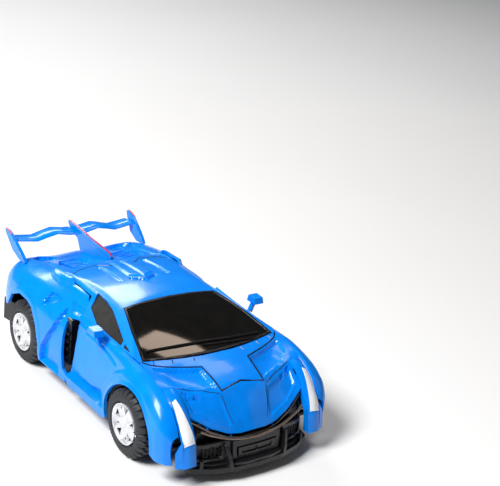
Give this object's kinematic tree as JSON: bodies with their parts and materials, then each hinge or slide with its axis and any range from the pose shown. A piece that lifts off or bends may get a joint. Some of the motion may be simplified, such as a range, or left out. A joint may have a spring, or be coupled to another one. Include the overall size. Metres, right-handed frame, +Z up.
{
  "type": "transforming robot car",
  "caption": "Push-along toy supercar whose cabin tips up, nose stays level and doors swing out to form a standing robot.",
  "frame": {"origin": "on the floor under the middle of the car's length and width, in car form", "axes": "+Y to the tail, +X to the right-hand side seen from above with the nose down the page, +Z up"},
  "size_m": [0.0688, 0.132, 0.0402],
  "materials": {
    "blue_plastic": "high-gloss moulded blue",
    "black_plastic": "satin moulded black",
    "red_lens": "glossy red",
    "brass_wire": "drawn wire",
    "steel": "plain steel",
    "smoked_glass": "smoked, very glossy",
    "grey_trim": "dark grey with white edges",
    "gold_armour": "pale gold metallic paint",
    "cream_armour": "cream metallic paint",
    "dark_window": "glossy dark grey",
    "white_lens": "glossy white",
    "silver_paint": "silver paint",
    "white_nylon": "natural nylon",
    "silver_rim": "vacuum-plated silver",
    "tyre_rubber": "soft moulded rubber"
  },
  "bodies": {
    "chassis": {"rear_body_shell": "blue_plastic", "rear_bumper": "black_plastic", "rear_fin": "blue_plastic", "wing_blade": "blue_plastic", "wing_end_plates": "blue_plastic", "tail_lights": "red_lens", "side_intakes": "black_plastic", "chassis_base": "black_plastic", "foot_deck": "blue_plastic", "latch_spring": "brass_wire", "hip_pins": "steel", "base_screws": "steel", "motor_housing": "black_plastic"},
    "latch": {"latch_slider": "black_plastic"},
    "cabin": {"cabin_shell": "blue_plastic", "windshield": "smoked_glass", "wiper_arm": "black_plastic", "torso_plate": "black_plastic", "shoulder_boxes": "grey_trim", "chest_armour": "gold_armour", "waist_relief": "grey_trim", "pelvis_armour": "cream_armour", "leg_armour": "cream_armour", "latch_hook": "black_plastic", "side_windows": "dark_window", "hip_springs": "steel"},
    "chest": {"hood_shell": "blue_plastic", "headlights": "white_lens", "front_grille": "black_plastic", "splitter": "black_plastic", "chest_frame": "black_plastic", "chest_pins": "steel", "shoulder_pins": "steel", "head_brackets": "black_plastic", "head_pin": "steel"},
    "crash_button": {"bumper_button": "black_plastic"},
    "head": {"cowl_panel": "blue_plastic", "helmet": "black_plastic", "robot_face": "silver_paint", "neck": "black_plastic"},
    "arm_right": {"side_panel_right": "blue_plastic", "wheel_liner_right": "blue_plastic", "upper_arm_right": "black_plastic", "stub_axle_right": "steel", "mirror_right": "blue_plastic"},
    "arm_left": {"side_panel_left": "blue_plastic", "wheel_liner_left": "blue_plastic", "upper_arm_left": "black_plastic", "stub_axle_left": "steel", "mirror_left": "blue_plastic"},
    "front_wheel_right": {"front_rim_right": "silver_rim", "front_tyre_right": "tyre_rubber"},
    "front_wheel_left": {"front_rim_left": "silver_rim", "front_tyre_left": "tyre_rubber"},
    "rear_wheels": {"rear_axle": "steel", "drive_gear": "white_nylon", "rear_rims": "silver_rim", "rear_tyres": "tyre_rubber"},
    "idler": {"idler_gear": "white_nylon"},
    "motor_flywheel": {"flywheel": "steel"}
  },
  "joints": [
    {"name": "stand_up", "type": "hinge", "parent": "chassis", "child": "cabin", "pos_m": [0, 0.028, 0.034], "axis": [-1, 0, 0], "range_deg": [0, 90]},
    {"name": "chest_level", "type": "hinge", "parent": "cabin", "child": "chest", "pos_m": [0, -0.0475, 0.0185], "axis": [1, 0, 0], "range_deg": [0, 90]},
    {"name": "arm_right_swing", "type": "hinge", "parent": "chest", "child": "arm_right", "pos_m": [0.03, -0.0566, 0.014], "axis": [0, 0, -1], "range_deg": [0, 90]},
    {"name": "arm_left_swing", "type": "hinge", "parent": "chest", "child": "arm_left", "pos_m": [-0.03, -0.0566, 0.014], "axis": [0, 0, 1], "range_deg": [0, 90]},
    {"name": "head_flip", "type": "hinge", "parent": "chest", "child": "head", "pos_m": [0, -0.0392, 0.0272], "axis": [-1, 0, 0], "range_deg": [0, 108]},
    {"name": "front_wheel_right_spin", "type": "hinge", "parent": "arm_right", "child": "front_wheel_right", "pos_m": [0.03, -0.036, 0.0116], "axis": [1, 0, 0], "continuous": true},
    {"name": "front_wheel_left_spin", "type": "hinge", "parent": "arm_left", "child": "front_wheel_left", "pos_m": [-0.03, -0.036, 0.0116], "axis": [1, 0, 0], "continuous": true},
    {"name": "rear_axle_spin", "type": "hinge", "parent": "chassis", "child": "rear_wheels", "pos_m": [0, 0.036, 0.0116], "axis": [1, 0, 0], "continuous": true},
    {"name": "idler_spin", "type": "hinge", "parent": "chassis", "child": "idler", "pos_m": [0, 0.04595, 0.013], "axis": [1, 0, 0], "continuous": true},
    {"name": "flywheel_spin", "type": "hinge", "parent": "chassis", "child": "motor_flywheel", "pos_m": [0, 0.05194, 0.01384], "axis": [1, 0, 0], "continuous": true},
    {"name": "bumper_push", "type": "slide", "parent": "chest", "child": "crash_button", "axis": [0, 1, 0], "range_m": [0, 0.0015], "stiffness_N_per_m": 150},
    {"name": "latch_release", "type": "slide", "parent": "chassis", "child": "latch", "axis": [0, -1, 0], "range_m": [0, 0.0005]}
  ],
  "couplings": [
    {"joint": "chest_level", "follows": "stand_up", "ratio": 1},
    {"joint": "arm_right_swing", "follows": "stand_up", "ratio": 1},
    {"joint": "arm_left_swing", "follows": "stand_up", "ratio": 1},
    {"joint": "head_flip", "follows": "stand_up", "ratio": 1.2},
    {"joint": "idler_spin", "follows": "rear_axle_spin", "ratio": -1.5},
    {"joint": "flywheel_spin", "follows": "rear_axle_spin", "ratio": 3},
    {"joint": "latch_release", "follows": "bumper_push", "ratio": 0.3333}
  ]
}
